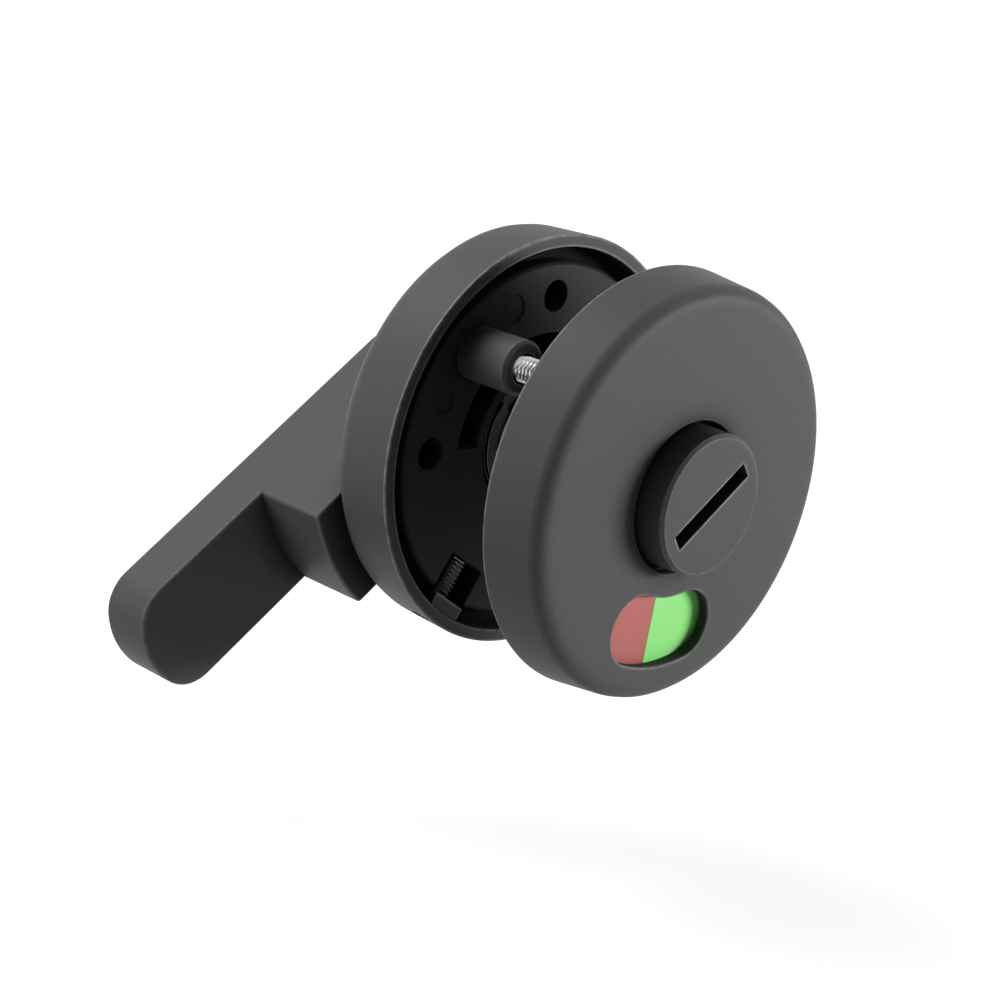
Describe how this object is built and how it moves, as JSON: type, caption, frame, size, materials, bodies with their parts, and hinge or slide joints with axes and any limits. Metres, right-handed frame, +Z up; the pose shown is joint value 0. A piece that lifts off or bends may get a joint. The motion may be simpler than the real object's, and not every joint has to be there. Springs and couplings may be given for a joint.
{
  "type": "privacy door lock",
  "caption": "Round privacy turn and release: lever on a rose inside, coin-slot button and red and green window outside, joined through the door by a square spindle.",
  "frame": {"origin": "on the turning axis, in the plane of the lever-side rose's rim, which is the door's inner face", "axes": "+Y along the turning axis towards the lever side, -Y is the indicator side, +Z up with the window below the button, +X to the right seen from the indicator side"},
  "size_m": [0.0837, 0.0689, 0.0772],
  "materials": {
    "satin_black": "satin black powder coat",
    "black_nylon": "moulded black nylon",
    "white_bearing": "natural acetal",
    "zinc_steel": "zinc-plated steel",
    "spring_steel": "phosphated spring steel",
    "indicator_red": "satin printed red",
    "indicator_green": "satin printed green"
  },
  "bodies": {
    "fixed_roses": {"inner_rose_cover": "satin_black", "inner_base_plate": "black_nylon", "hub_bush": "white_bearing", "cover_guide_ring": "black_nylon", "fixing_pillars": "satin_black", "cover_grub_screw": "spring_steel", "outer_rose_cover": "satin_black", "outer_base_plate": "black_nylon", "clamp_screws": "zinc_steel", "button_bush": "white_bearing"},
    "turn": {"lever": "satin_black", "lever_set_screw": "zinc_steel", "stop_ring": "zinc_steel", "spring_washer": "spring_steel", "thrust_washer": "spring_steel", "neck_retaining_ring": "spring_steel", "spindle": "zinc_steel", "turn_button": "satin_black", "indicator_disc": "black_nylon", "indicator_red": "indicator_red", "indicator_green": "indicator_green", "indicator_screws": "zinc_steel", "button_washer": "spring_steel", "button_retaining_ring": "spring_steel"}
  },
  "joints": [
    {"name": "lock_turn", "type": "hinge", "parent": "fixed_roses", "child": "turn", "pos_m": [0, 0, 0], "axis": [0, 1, 0], "range_deg": [-50, 40]}
  ]
}
